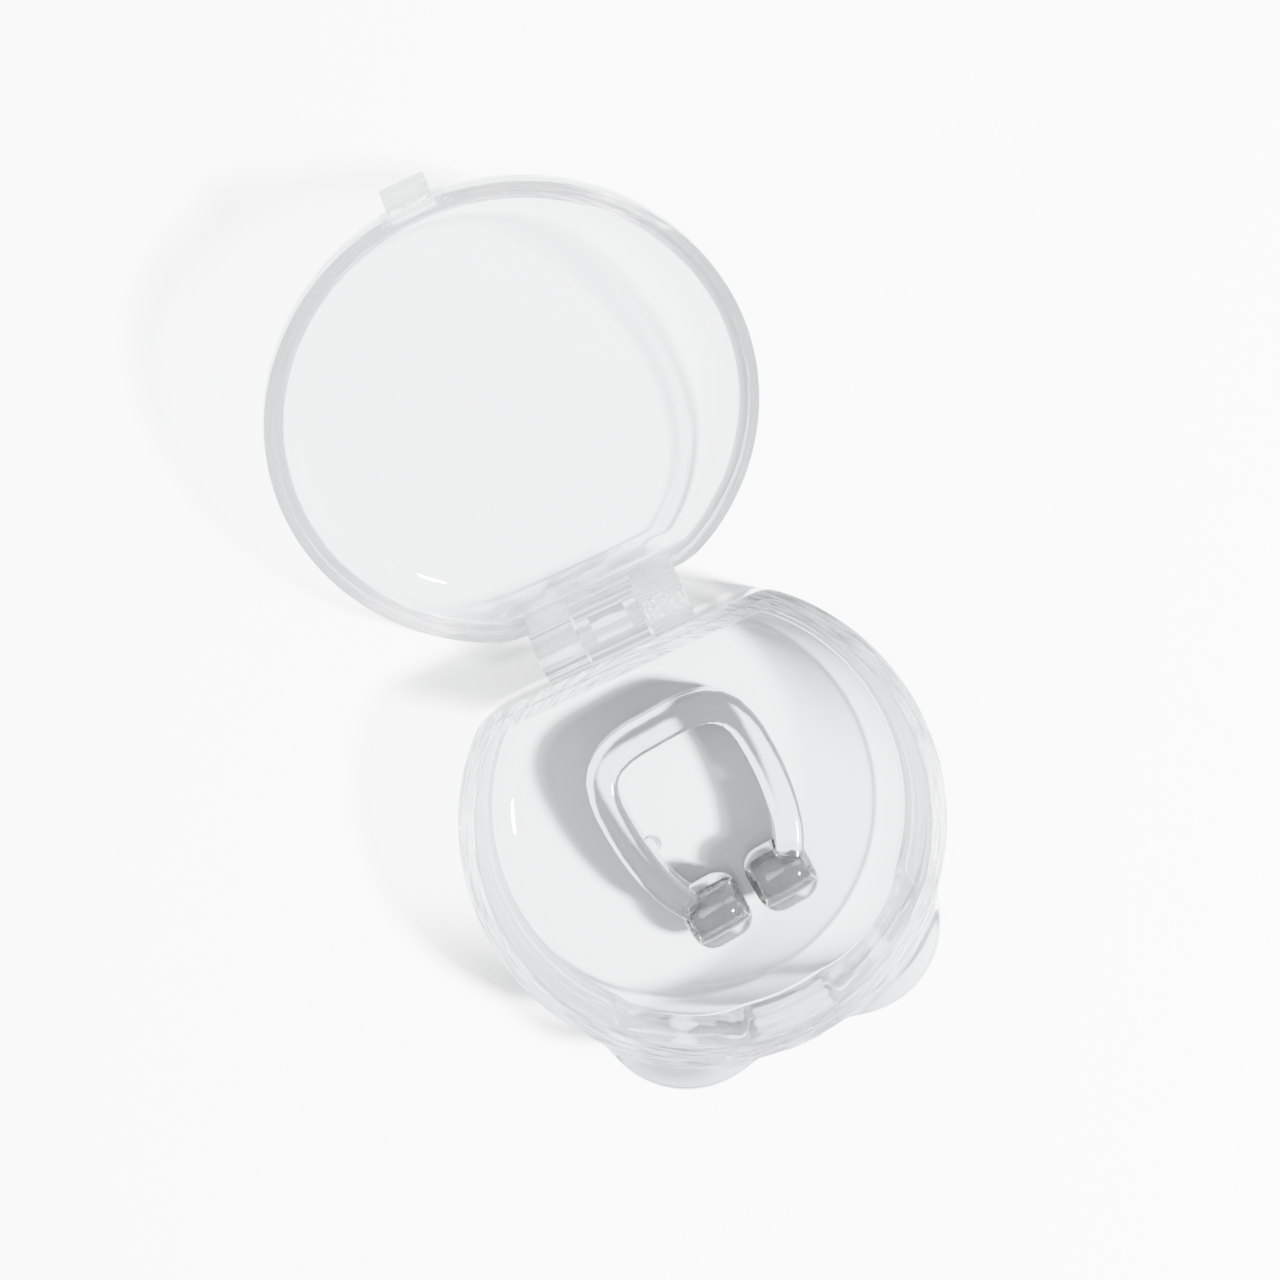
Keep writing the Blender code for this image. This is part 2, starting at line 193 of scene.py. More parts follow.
def combined(target, tools, place=Matrix.Identity(4), sharp=40):
    """Joins tools to the target or cuts them away, moves the result to its place and shades it smooth."""
    for operation, tool in tools:
        modifier = target.modifiers.new(tool.name, "BOOLEAN")
        modifier.operation = operation
        modifier.object = tool
    graph = bpy.context.evaluated_depsgraph_get()
    mesh = bpy.data.meshes.new_from_object(target.evaluated_get(graph))
    target.modifiers.clear()
    mesh.transform(place)
    target.data = mesh
    for _, tool in tools:
        bpy.data.objects.remove(tool, do_unlink=True)
    mesh.shade_smooth()
    mesh.set_sharp_from_angle(angle=math.radians(sharp))
    weight = target.modifiers.new("face_weighted_normals", "WEIGHTED_NORMAL")
    weight.keep_sharp = True
    return target


def arc(centre, radius, start, end, steps):
    """Points of an arc, angles in radians, both ends included."""
    turns = (start + (end - start) * i / steps for i in range(steps + 1))
    return [(centre[0] + radius * math.cos(t), centre[1] + radius * math.sin(t)) for t in turns]


def rounded(corners, closed=False):
    """The points of a profile whose corners, given as (point, radius), become arcs.

    The arcs lie in the first two coordinates, and any others run along with them.
    """
    listed = [(Vector(point), radius) for point, radius in corners]
    ring = [listed[-1], *listed, listed[0]] if closed else listed
    points = [] if closed else [listed[0][0]]
    for (before, _), (corner, radius), (after, _) in zip(ring, ring[1:], ring[2:]):
        if not radius:
            points.append(corner)
            continue
        back, ahead = before - corner, after - corner
        half = 0.5 * back.xy.angle(ahead.xy)
        reach = radius / math.tan(half)
        start = corner + back * min(reach / back.xy.length, 0.95)
        end = corner + ahead * min(reach / ahead.xy.length, 0.95)
        weight = math.sin(half)
        steps = FILLET_STEPS if radius > 1 else ARC_STEPS
        for i in range(steps + 1):
            t = i / steps
            shares = ((1 - t) ** 2, 2 * weight * t * (1 - t), t**2)
            point = start * shares[0] + corner * shares[1] + end * shares[2]
            points.append(point / sum(shares))
    return points if closed else [*points, listed[-1][0]]


def bevelled(shape, width, angle=25, segments=3):
    """The shape with its sharp edges rounded."""
    limit = math.radians(angle)
    edges = [e for e in shape.edges if len(e.link_faces) == 2 and e.calc_face_angle() > limit]
    bmesh.ops.bevel(
        shape, geom=edges, offset=width, segments=segments, affect="EDGES", profile=0.5,
        clamp_overlap=True,
    )
    return shape


def extrude_along_x(profile, x_from, x_to):
    """A prism whose outline is a list of (y, z) points."""
    return loft([[Vector((x, y, z)) for y, z in profile] for x in (x_from, x_to)])


def turn_about_x(profile, points=ROUND_POINTS):
    """A turned solid from (x, radius) points, on the X axis."""
    angles = [2 * math.pi * i / points for i in range(points)]
    return loft(
        [[Vector((x, r * math.cos(a), r * math.sin(a))) for a in angles] for x, r in profile]
    )


def moved(shape, place):
    bmesh.ops.translate(shape, verts=shape.verts, vec=place)
    return shape


# ---------------------------------------------------------------------------
# The case's outline
# ---------------------------------------------------------------------------


def soft_positive(value, softness):
    """The value where it is positive and nothing where it is negative, with a rounded change."""
    return 0.5 * (value + math.hypot(value, softness))


def lobe_reach(angle):
    """How far a lobe stands out of the wall in one direction, where angle 0 is the front."""
    offset = abs(angle) - LOBE_ANGLE
    across = LOBE_CENTRE * math.sin(offset)
    if abs(across) >= LOBE_RADIUS:
        return 0.0
    reach = LOBE_CENTRE * math.cos(offset) + math.sqrt(LOBE_RADIUS**2 - across**2)
    return soft_positive(reach - BASE_RADIUS, LOBE_SOFTNESS)


def outline(radius, z, flat, lobe=0.0, softness=CORNER_SOFTNESS):
    """A round outline at height z, cut straight at y = flat, whose lobes reach lobe at their peaks."""
    loop = []
    for i in range(OUTLINE_POINTS):
        angle = 2 * math.pi * (i + 0.5) / OUTLINE_POINTS - math.pi
        reach = radius + lobe / LOBE_PEAK * lobe_reach(angle)
        if math.cos(angle) < HINGE_SIDE:
            reach -= soft_positive(reach + flat / math.cos(angle), softness)
        loop.append(Vector((reach * math.sin(angle), -reach * math.cos(angle), z)))
    return loop


def base_shell():
    """The tray: its underside, outer wall, stepped rim, inner wall and floor."""
    inner_flat = BASE_FLAT - FLAT_WALL
    lip_flat = BASE_FLAT - (BASE_RADIUS - LIP_RADIUS)
    ledge = BASE_HEIGHT - LIP_HEIGHT
    foot = BASE_FOOT_RADIUS
    outer = rounded([
        ((foot - 2, 0, BASE_FLAT - 2, LOBE_PEAK), 0),
        ((foot, 0, BASE_FLAT, LOBE_PEAK), BASE_FOOT_EDGE),
        ((BASE_RADIUS, LOBE_TOP - LOBE_SHOULDER, BASE_FLAT, LOBE_PEAK), 0),
    ])
    outer += [(BASE_RADIUS, LOBE_TOP - LOBE_SHOULDER * (1 - math.sin(q)), BASE_FLAT,
               LOBE_PEAK - LOBE_SHOULDER * (1 - math.cos(q))) for q in (0.3, 0.6, 0.9, 1.2, 1.5)]
    outer += rounded([
        ((BASE_RADIUS, LOBE_TOP + 0.05, BASE_FLAT, 0), 0),
        ((BASE_RADIUS, ledge, BASE_FLAT, 0), EDGE),
        ((LIP_RADIUS, ledge, lip_flat, 0), EDGE / 2),
        ((LIP_RADIUS, BASE_HEIGHT, lip_flat, 0), EDGE),
        ((BASE_MOUTH_RADIUS, BASE_HEIGHT, inner_flat, 0), 0),
    ])
    loops = [outline(*point) for point in outer[:-1]]
    well_flat = inner_flat - FLAT_FILLET_SHARE * (BASE_MOUTH_RADIUS - BASE_WELL_RADIUS)
    floor_flat = well_flat - FLAT_FILLET_SHARE * FLOOR_FILLET
    inner = rounded([
        ((LIP_RADIUS, BASE_HEIGHT, lip_flat), 0),
        ((BASE_MOUTH_RADIUS, BASE_HEIGHT, inner_flat), EDGE),
        ((BASE_WELL_RADIUS, FLOOR, well_flat), FLOOR_FILLET),
        ((BASE_WELL_RADIUS - FLOOR_FILLET - CAP_RING, FLOOR, floor_flat - CAP_RING), 0),
    ])
    loops += [outline(*point) for point in inner[1:]]
    return loft(loops)


def lid_shell():
    """The dish, closed over the base: its top, outer wall, stepped rim, inner wall and ceiling."""
    rim = BASE_HEIGHT + PARTING_GAP
    top = rim + LID_HEIGHT
    ceiling = top - LID_TOP_WALL
    rebate_flat = LID_FACET - REBATE_FACET_INSET
    outer = rounded([
        ((LID_RADIUS - LID_EDGE - CAP_RING, top, LID_FACET - LID_EDGE - CAP_RING), 0),
        ((LID_RADIUS, top, LID_FACET), LID_EDGE),
        ((LID_RADIUS, rim, LID_FACET), EDGE),
        ((REBATE_RADIUS, rim, rebate_flat), EDGE),
        ((REBATE_RADIUS, rim + REBATE_DEPTH, rebate_flat), EDGE / 2),
        ((LID_MOUTH_RADIUS, rim + REBATE_DEPTH, LID_FACET - LID_FACET_WALL), 0),
    ])
    loops = [outline(*point) for point in outer[:-1]]
    facet = LID_FACET - LID_FACET_WALL
    inner = rounded([
        ((REBATE_RADIUS, rim + REBATE_DEPTH, rebate_flat), 0),
        ((LID_MOUTH_RADIUS, rim + REBATE_DEPTH, facet), EDGE),
        ((LID_WELL_RADIUS, ceiling, facet), LID_FILLET),
        ((LID_WELL_RADIUS - LID_FILLET - CAP_RING, ceiling, facet), 0),
    ])
    loops += [outline(*point, softness=FACET_SOFTNESS) for point in inner[1:]]
    return loft(loops)


# ---------------------------------------------------------------------------
# The case's small shapes
# ---------------------------------------------------------------------------


def base_knuckle():
    """The middle knuckle, with a web that runs into the straight wall."""
    root = BASE_FLAT - JOIN_OVERLAP - HINGE_Y
    barrel = arc((0, 0), KNUCKLE_RADIUS, -math.pi / 2, math.pi / 2, 40)
    profile = [(root, -KNUCKLE_RADIUS - WEB_DROP), *barrel, (root, KNUCKLE_RADIUS)]
    placed = [(HINGE_Y + y, HINGE_Z + z) for y, z in profile]
    return bevelled(extrude_along_x(placed, -KNUCKLE_HALF_WIDTH, KNUCKLE_HALF_WIDTH), EDGE)


def latch_ridge():
    """The ridge that the lid's hook snaps under."""
    profile = [(-18.2, 12.0), (-18.62, 11.85), (-18.7, 11.7), (-18.62, 11.5), (-18.2, 11.3)]
    return extrude_along_x(profile, -RIDGE_HALF_WIDTH, RIDGE_HALF_WIDTH)


def pin_socket(side):
    """The blind hole in one end of the knuckle."""
    mouth = side * (KNUCKLE_HALF_WIDTH + JOIN_OVERLAP)
    bottom = side * (KNUCKLE_HALF_WIDTH - SOCKET_DEPTH)
    return moved(turn_about_x([(mouth, SOCKET_RADIUS), (bottom, SOCKET_RADIUS)]), (0, HINGE_Y, HINGE_Z))


def ejector_mark(side):
    """A shallow round mark in the top of the straight wall."""
    angles = [2 * math.pi * i / ROUND_POINTS for i in range(ROUND_POINTS)]
    ring = [(side * MARK_X + MARK_RADIUS * math.cos(a), MARK_Y + MARK_RADIUS * math.sin(a)) for a in angles]
    heights = (BASE_HEIGHT - MARK_DEPTH, BASE_HEIGHT + MARK_DEPTH)
    return loft([[Vector((x, y, z)) for x, y in ring] for z in heights])


def closed_from_open(y, z):
    """A point given round the hinge with the lid open, turned back to the closed lid."""
    sine, cosine = math.sin(LID_OPEN), math.cos(LID_OPEN)
    return y * cosine - z * sine, y * sine + z * cosine


def hinge_arm(side):
    """An arm of the lid: barrel, strap up to the dish, and the heel that stops on the base."""
    start = math.asin(-ARM_FRONT / KNUCKLE_RADIUS) + math.pi / 2
    heel_start = closed_from_open(-STOP_FACE, 0)
    end = math.atan2(heel_start[1], heel_start[0]) + 2 * math.pi
    profile = [((ARM_BACK + ARM_FRONT) / 2, ARM_TOP), (ARM_FRONT, ARM_TOP - ARM_TOP_SLOPE)]
    profile += arc((0, 0), KNUCKLE_RADIUS, start, end, 48)
    profile += [
        closed_from_open(-STOP_FACE, -STOP_DEPTH),
        closed_from_open(-STOP_FACE + STOP_THICKNESS, -STOP_DEPTH),
        (ARM_BACK, ARM_HEEL),
        (ARM_BACK, ARM_SHOULDER),
    ]
    placed = [(HINGE_Y + y, HINGE_Z + z) for y, z in profile]
    return bevelled(extrude_along_x(placed, side * ARM_INNER, side * ARM_OUTER), EDGE)


def hinge_pin(side):
    """A stub pin on the inner face of an arm, with a small lead-in."""
    tip = side * (ARM_INNER - PIN_LENGTH)
    shoulder = tip + side * PIN_LEAD_IN
    root = side * (ARM_INNER + JOIN_OVERLAP)
    pin = turn_about_x([(tip, PIN_RADIUS - PIN_LEAD_IN), (shoulder, PIN_RADIUS), (root, PIN_RADIUS)])
    return moved(pin, (0, HINGE_Y, HINGE_Z))


def latch_tongue():
    """The thumb tab and its tongue, outside the base's wall, with a hook at its end."""
    corners = [
        ((-18.3, 13.9), 0), ((-18.3, 16.0), 0), ((-19.5, 16.0), 0.4), ((-20.1, 15.4), 0.4),
        ((-20.1, 10.7), 0.5), ((-18.9, 10.7), 0.4), ((-18.9, 11.15), 0.08), ((-19.05, 11.35), 0.08),
        ((-19.05, 13.5), 0.2), ((-18.6, 13.9), 0.1),
    ]
    profile = [tuple(point) for point in rounded(corners, closed=True)]
    return bevelled(extrude_along_x(profile, -TONGUE_HALF_WIDTH, TONGUE_HALF_WIDTH), 0.2, angle=60)


def gate_mark():
    """The ball that sinks the gate's dimple into the facet."""
    ball = bmesh.new()
    bmesh.ops.create_uvsphere(ball, u_segments=64, v_segments=32, radius=GATE_RADIUS)
    return moved(ball, GATE_PLACE)


def make_base():
    base = make_object("clear_tray", base_shell())
    tools = [
        ("UNION", make_object("knuckle", base_knuckle())),
        ("UNION", make_object("ridge", latch_ridge())),
    ]
    for side in (-1, 1):
        tools.append(("DIFFERENCE", make_object(f"socket_{side}", pin_socket(side))))
        tools.append(("DIFFERENCE", make_object(f"mark_{side}", ejector_mark(side))))
    return combined(base, tools)


def make_lid():
    """The lid, built closed round the hinge axis and then turned to its open stop."""
    to_hinge = (0, -HINGE_Y, -HINGE_Z)
    lid = make_object("clear_lid", moved(lid_shell(), to_hinge))
    tools = [
        ("UNION", make_object("tongue", moved(latch_tongue(), to_hinge))),
        ("DIFFERENCE", make_object("gate", moved(gate_mark(), to_hinge))),
    ]
    for side in (-1, 1):
        tools.append(("UNION", make_object(f"arm_{side}", moved(hinge_arm(side), to_hinge))))
        tools.append(("UNION", make_object(f"pin_{side}", moved(hinge_pin(side), to_hinge))))
    return combined(lid, tools, hinge_matrix())


def hinge_matrix():
    """From the closed lid's coordinates round the hinge axis to the open lid in the frame."""
    place = Matrix.Translation((0, HINGE_Y * MM, HINGE_Z * MM))
    return place @ Matrix.Rotation(-LID_OPEN, 4, "X")


# ---------------------------------------------------------------------------
# The clip and its magnets
# ---------------------------------------------------------------------------


def clip_route():
    """The middle line of the U as (point, thickness), from the left pod round to the right pod."""
    half = [
        ((0, 8.15), 2.7), ((3.2, 8.0), 2.7), ((5.2, 7.1), 2.6), ((6.15, 5.3), 2.4), ((6.35, 2.6), 2.4),
        ((6.1, -0.6), 2.4), ((5.4, -3.6), 2.3), ((4.3, -5.8), 2.2),
    ]
    left = [((-x, y), t) for (x, y), t in reversed(half[1:])]
    return [(Vector((x, y, 0)), t) for (x, y), t in left + half]


def smooth_route(stations, steps=14):
    """Catmull-Rom points between the stations, with their thickness run in between."""
    points = [stations[0], *stations, stations[-1]]
    route = []
    for before, start, end, after in zip(points, points[1:], points[2:], points[3:]):
        for i in range(steps):
            t = i / steps
            ends = (end[0] - start[0]) * t + start[0]
            bend = (before[0] - start[0]) * (-t * (1 - t) ** 2) + (after[0] - end[0]) * (-(t**2) * (1 - t))
            bend += (end[0] - start[0]) * (t * (1 - t) * (1 - 2 * t))
            route.append((ends + bend * 0.5, start[1] + (end[1] - start[1]) * t))
    return route + [stations[-1]]


def clip_band():
    """The U as a band on edge, its section a rectangle with rounded corners."""
    route = smooth_route(clip_route())
    loops = []
    for i, (place, thickness) in enumerate(route):
        along = (route[min(i + 1, len(route) - 1)][0] - route[max(i - 1, 0)][0]).normalized()
        across = Vector((along.y, -along.x, 0))
        section = []
        for sx, sz, start in ((1, 1, 0), (-1, 1, 90), (-1, -1, 180), (1, -1, 270)):
            centre = (sx * (thickness / 2 - CLIP_EDGE), sz * (CLIP_HEIGHT / 2 - CLIP_EDGE))
            section += arc(centre, CLIP_EDGE, math.radians(start), math.radians(start + 90), 10)
        loops.append([place + across * a + Vector((0, 0, b)) for a, b in section])
    return loft(loops)


def clip_pod(side):
    """A round pod on its side, with rounded ends."""
    corners = [
        ((-POD_HALF_LENGTH, POD_RADIUS - POD_EDGE - 0.4), 0), ((-POD_HALF_LENGTH, POD_RADIUS), POD_EDGE),
        ((POD_HALF_LENGTH, POD_RADIUS), POD_EDGE), ((POD_HALF_LENGTH, POD_RADIUS - POD_EDGE - 0.4), 0),
    ]
    pod = turn_about_x([tuple(point) for point in rounded(corners)], 96)
    return moved(pod, (side * POD_X, POD_Y, 0))


def magnet_pocket(side):
    """The hollow that grips a magnet, with the small hole in the pod's outer end that it goes in by."""
    half = MAGNET_LENGTH / 2 - POCKET_SQUEEZE
    radius = MAGNET_RADIUS - POCKET_SQUEEZE
    outside = POD_HALF_LENGTH + JOIN_OVERLAP
    steps = [(-half, radius), (half, radius), (half, POCKET_HOLE_RADIUS), (outside, POCKET_HOLE_RADIUS)]
    return moved(turn_about_x([(side * x, r) for x, r in steps]), (side * POD_X, POD_Y, 0))


def grip_nub(side):
    """A small round nub on the inner face of an arm of the U."""
    nub = bmesh.new()
    bmesh.ops.create_uvsphere(nub, u_segments=48, v_segments=24, radius=NUB_RADIUS)
    return moved(nub, (side * NUB_PLACE[0], NUB_PLACE[1], 0))


def clip_matrix():
    return Matrix.Translation(CLIP_PLACE * MM) @ Matrix.Rotation(CLIP_TURN, 4, "Z")


def make_clip():
    clip = make_object("silicone_clip", clip_band())
    tools = []
    for side in (-1, 1):
        tools.append(("UNION", make_object(f"pod_{side}", clip_pod(side))))
        tools.append(("UNION", make_object(f"nub_{side}", grip_nub(side))))
        tools.append(("DIFFERENCE", make_object(f"pocket_{side}", magnet_pocket(side))))
    return combined(clip, tools, clip_matrix())


def make_magnet(side, name):
    """A plated cylinder with rounded ends, centred in its pod."""
    half = MAGNET_LENGTH / 2
    corners = [
        ((-half, MAGNET_RADIUS / 2), 0), ((-half, MAGNET_RADIUS), MAGNET_CHAMFER),
        ((half, MAGNET_RADIUS), MAGNET_CHAMFER), ((half, MAGNET_RADIUS / 2), 0),
    ]
    shape = moved(turn_about_x([tuple(point) for point in rounded(corners)]), (side * POD_X, POD_Y, 0))
    return combined(make_object(f"nickel_magnet_{name}", shape), [], clip_matrix())


# ---------------------------------------------------------------------------
# Materials
# ---------------------------------------------------------------------------


class Nodes:
    """A new material's node tree, with short calls to add nodes and to link them."""

    def __init__(self, name):
        self.material = bpy.data.materials.new(name)
        self.material.use_nodes = True
        self.tree = self.material.node_tree
        self.shader = self.tree.nodes["Principled BSDF"]
        self.output = self.tree.nodes["Material Output"]

    def add(self, kind, inputs=None, **settings):
        node = self.tree.nodes.new(kind)
        for key, value in settings.items():
            setattr(node, key, value)
        for key, value in (inputs or {}).items():
            if isinstance(value, bpy.types.NodeSocket):
                self.tree.links.new(value, node.inputs[key])
            else:
                node.inputs[key].default_value = value
        return node

    def link(self, source, target):
        self.tree.links.new(source, target)

    def math(self, operation, first, second=0.0):
        return self.add("ShaderNodeMath", {0: first, 1: second}, operation=operation).outputs[0]

    def ramp(self, source, start, end, low, high):
        """Runs from low to high while the source runs from start to end, and is held outside that."""
        spans = {"Value": source, "From Min": start, "From Max": end, "To Min": low, "To Max": high}
        return self.add("ShaderNodeMapRange", spans).outputs[0]

    def bump(self, height, strength, distance, before=None):
        inputs = {"Height": height, "Strength": strength, "Distance": distance}
        if before:
            inputs["Normal"] = before
        return self.add("ShaderNodeBump", inputs).outputs[0]


def streaked(nodes, place, turn, shift):
    """Fine streaks that run round the case, 0 to 1, and how much a point is part of the stepped rims.

    turn and shift bring a point of the piece back to where it is in the closed case.
    """
    closed = nodes.add("ShaderNodeMapping", {"Vector": place, "Rotation": turn, "Location": shift})
    split = nodes.add("ShaderNodeSeparateXYZ", {0: closed.outputs[0]})
    flat = nodes.add("ShaderNodeCombineXYZ", {"X": split.outputs["X"], "Y": split.outputs["Y"]})
    radius = nodes.add("ShaderNodeVectorMath", {0: flat.outputs[0]}, operation="LENGTH").outputs["Value"]
    angle = nodes.math("ARCTAN2", split.outputs["Y"], split.outputs["X"])
    wound = nodes.add(
        "ShaderNodeCombineXYZ",
        {
            "X": nodes.math("MULTIPLY", radius, 9000.0),
            "Y": nodes.math("MULTIPLY", angle, 7.0),
            "Z": nodes.math("MULTIPLY", split.outputs["Z"], 4000.0),
        },
    )
    streaks = nodes.add("ShaderNodeTexNoise", {"Vector": wound.outputs[0], "Scale": 1.0, "Detail": 4.0})
    from_parting = nodes.math("ABSOLUTE", nodes.math("SUBTRACT", split.outputs["Z"], BASE_HEIGHT * MM))
    near_parting = nodes.ramp(from_parting, STREAK_END * MM, STREAK_WHOLE * MM, 0.0, 1.0)
    past_mouth = nodes.ramp(radius, BASE_WELL_RADIUS * MM, BASE_MOUTH_RADIUS * MM, 0.0, 1.0)
    short_of_lobes = nodes.ramp(radius, (LID_RADIUS + STREAK_FADE) * MM, LID_RADIUS * MM, 0.0, 1.0)
    round_wall = nodes.math("MULTIPLY", past_mouth, short_of_lobes)
    inner_flat = BASE_FLAT - FLAT_WALL
    fade = ((inner_flat - STREAK_FADE / 2) * MM, (inner_flat + STREAK_FADE / 2) * MM)
    straight_wall = nodes.ramp(split.outputs["Y"], *fade, 0.0, 1.0)
    walls = nodes.math("MAXIMUM", round_wall, straight_wall)
    return streaks.outputs["Fac"], nodes.math("MULTIPLY", near_parting, walls)


def frosted_zone(nodes, place, boxes):
    """1 inside any of the boxes, each given by its two corners in millimetres, and 0 elsewhere."""
    total = None
    for low, high in boxes:
        middle = [(a + b) / 2 * MM for a, b in zip(low, high)]
        half = [(b - a) / 2 * MM for a, b in zip(low, high)]
        offset = nodes.add("ShaderNodeVectorMath", {0: place, 1: middle}, operation="SUBTRACT").outputs[0]
        size = nodes.add("ShaderNodeVectorMath", {0: offset}, operation="ABSOLUTE").outputs[0]
        share = nodes.add("ShaderNodeVectorMath", {0: size, 1: half}, operation="DIVIDE").outputs[0]
        parts = nodes.add("ShaderNodeSeparateXYZ", {0: share}).outputs
        widest = nodes.math("MAXIMUM", nodes.math("MAXIMUM", parts[0], parts[1]), parts[2])
        inside = nodes.ramp(widest, 1.02, 0.98, 0.0, 1.0)
        total = inside if total is None else nodes.math("MAXIMUM", total, inside)
    return total


def clear_material(
    name, tint, ior, haze, roughness, waviness, shadow, edge_shadow, rim=None, rim_shade=1.0, frosted=()
):
    """A clear moulded material: faint flow waves, fine handling scratches and a little dust haze.

    haze is the share of light that the material scatters. shadow and edge_shadow are how much
    light one surface passes on to what lies in its shadow, met head on and at a glancing angle. rim
    is the turn and shift for the moulding streaks on the stepped rims, and rim_shade is the share of
    the tint left in the streaks there: painted shade that darkens the rims.
    """
    nodes = Nodes(name)
    place = nodes.add("ShaderNodeTexCoord").outputs["Object"]
    waves = nodes.add("ShaderNodeTexNoise", {"Vector": place, "Scale": 160.0, "Detail": 2.0})
    along = {"Vector": place, "Rotation": (0.3, 0.2, 0.6), "Scale": (900, 90, 900)}
    stretch = nodes.add("ShaderNodeMapping", along)
    scratches = nodes.add("ShaderNodeTexNoise", {"Vector": stretch.outputs[0], "Scale": 4.0, "Detail": 3.0})
    dust = nodes.add("ShaderNodeTexNoise", {"Vector": place, "Scale": 420.0, "Detail": 4.0})
    bump = nodes.bump(waves.outputs["Fac"], waviness, 0.0002)
    bump = nodes.bump(scratches.outputs["Fac"], 0.05, 0.00002, bump)
    rough = nodes.ramp(dust.outputs["Fac"], 0.3, 0.8, *roughness)
    # The colour runs from the tint to a darker copy of it on the rim streaks: painted shade that stands in
    # for the dark band of the stepped rims.
    colour = nodes.add("ShaderNodeMix", {"Factor": 0.0}, data_type="RGBA")
    colour.inputs["A"].default_value = (*tint, 1)
    colour.inputs["B"].default_value = (*(rim_shade * level for level in tint), 1)
    if rim:
        streaks, on_rim = streaked(nodes, place, *rim)
        painted_shade_streaks = nodes.ramp(streaks, 0.4, 0.62, 0.0, 1.0)
        nodes.link(nodes.math("MULTIPLY", on_rim, painted_shade_streaks), colour.inputs["Factor"])
        bump = nodes.bump(streaks, nodes.math("MULTIPLY", on_rim, RIM_STREAKS), 0.0001, bump)
        rough = nodes.math("ADD", rough, nodes.math("MULTIPLY", on_rim, 0.08))
    if frosted:
        grain = nodes.add("ShaderNodeTexNoise", {"Vector": place, "Scale": 2600.0, "Detail": 2.0})
        zone = frosted_zone(nodes, place, frosted)
        bump = nodes.bump(grain.outputs["Fac"], zone, 0.0003, bump)
        rough = nodes.math("ADD", rough, nodes.math("MULTIPLY", zone, 0.25))
    shader = nodes.shader
    nodes.link(bump, shader.inputs["Normal"])
    nodes.link(rough, shader.inputs["Roughness"])
    nodes.link(colour.outputs["Result"], shader.inputs["Base Color"])
    shader.inputs["Transmission Weight"].default_value = 1.0 - haze
    shader.inputs["IOR"].default_value = ior
    facing = nodes.add("ShaderNodeLayerWeight", {"Blend": 0.5}).outputs["Facing"]
    glancing = nodes.ramp(facing, 0.47, 0.75, 0.0, 1.0)
    passed = nodes.add("ShaderNodeMix", {"Factor": glancing}, data_type="RGBA")
    passed.inputs["A"].default_value = (*shadow, 1)
    passed.inputs["B"].default_value = (*edge_shadow, 1)
    let_through = nodes.add("ShaderNodeBsdfTransparent", {"Color": passed.outputs["Result"]})
    ray = nodes.add("ShaderNodeLightPath").outputs
    lighting = nodes.math("MAXIMUM", ray["Is Shadow Ray"], ray["Is Diffuse Ray"])
    mix = nodes.add("ShaderNodeMixShader", {0: lighting, 1: shader.outputs[0], 2: let_through.outputs[0]})
    nodes.link(mix.outputs[0], nodes.output.inputs["Surface"])
    return nodes.material


def nickel_material(name):
    """Polished nickel with fine turning marks round the cylinder and a slightly uneven polish, its colour
    painted dark as a painted reflection of a dark surround.
    """
    nodes = Nodes(name)
    place = nodes.add("ShaderNodeTexCoord").outputs["Object"]
    stretch = nodes.add("ShaderNodeMapping", {"Vector": place, "Scale": (9000, 300, 300)})
    marks = nodes.add("ShaderNodeTexNoise", {"Vector": stretch.outputs[0], "Scale": 1.0, "Detail": 3.0})
    patches = nodes.add("ShaderNodeTexNoise", {"Vector": place, "Scale": 700.0, "Detail": 3.0})
    bump = nodes.bump(marks.outputs["Fac"], 0.15, 0.00002)
    # Painted reflection: the colour is set far darker than nickel's own so that the magnets read dark; the
    # patches only vary it at random.
    colour = nodes.add("ShaderNodeMix", {"Factor": patches.outputs["Fac"]}, data_type="RGBA")
    colour.inputs["A"].default_value = (0.06, 0.06, 0.062, 1)
    colour.inputs["B"].default_value = (0.14, 0.14, 0.144, 1)
    shader = nodes.shader
    nodes.link(colour.outputs["Result"], shader.inputs["Base Color"])
    nodes.link(bump, shader.inputs["Normal"])
    nodes.link(nodes.ramp(patches.outputs["Fac"], 0.3, 0.7, 0.08, 0.18), shader.inputs["Roughness"])
    shader.inputs["Metallic"].default_value = 1.0
    return nodes.material


def dress(piece, material, body, node):
    """Gives a piece its material, and puts it in the place of its CAD node."""
    piece.data.materials.clear()
    piece.data.materials.append(material)
    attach(piece, body)
    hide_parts(node)


# ---------------------------------------------------------------------------
# Studio
# ---------------------------------------------------------------------------

CAMERA_TARGET = Vector((1.47, 14.35, 8.0))
CAMERA_DISTANCE = 165.0
CAMERA_LEAN = Vector((0.0169, 0.049, 0.9987))
CAMERA_ROLL = math.radians(-24.97)
CAMERA_VIEW = math.radians(33.37)
FLOOR_GAP = 0.02
KEY_POWER = 72
TOP_POWER = 3
SURROUND = ((0.3, 2.6), (0.85, 2.0))


def make_camera():
    """Nearly straight above the open case, which lies turned in the picture."""
    camera = bpy.data.objects.new("camera", bpy.data.cameras.new("camera"))
    bpy.context.scene.collection.objects.link(camera)
    camera.data.sensor_width = 36
    camera.data.angle = CAMERA_VIEW
    back = CAMERA_LEAN.normalized()
    up = (Vector((0, 1, 0)) - back * back.y).normalized()
    turned_up = Matrix.Rotation(CAMERA_ROLL, 3, back) @ up
    right = turned_up.cross(back)
    axes = Matrix((right, turned_up, back)).transposed().to_4x4()
    camera.matrix_world = Matrix.Translation((CAMERA_TARGET + back * CAMERA_DISTANCE) * MM) @ axes
    camera.data.clip_start = 0.01
    camera.data.clip_end = 20
    bpy.context.scene.camera = camera


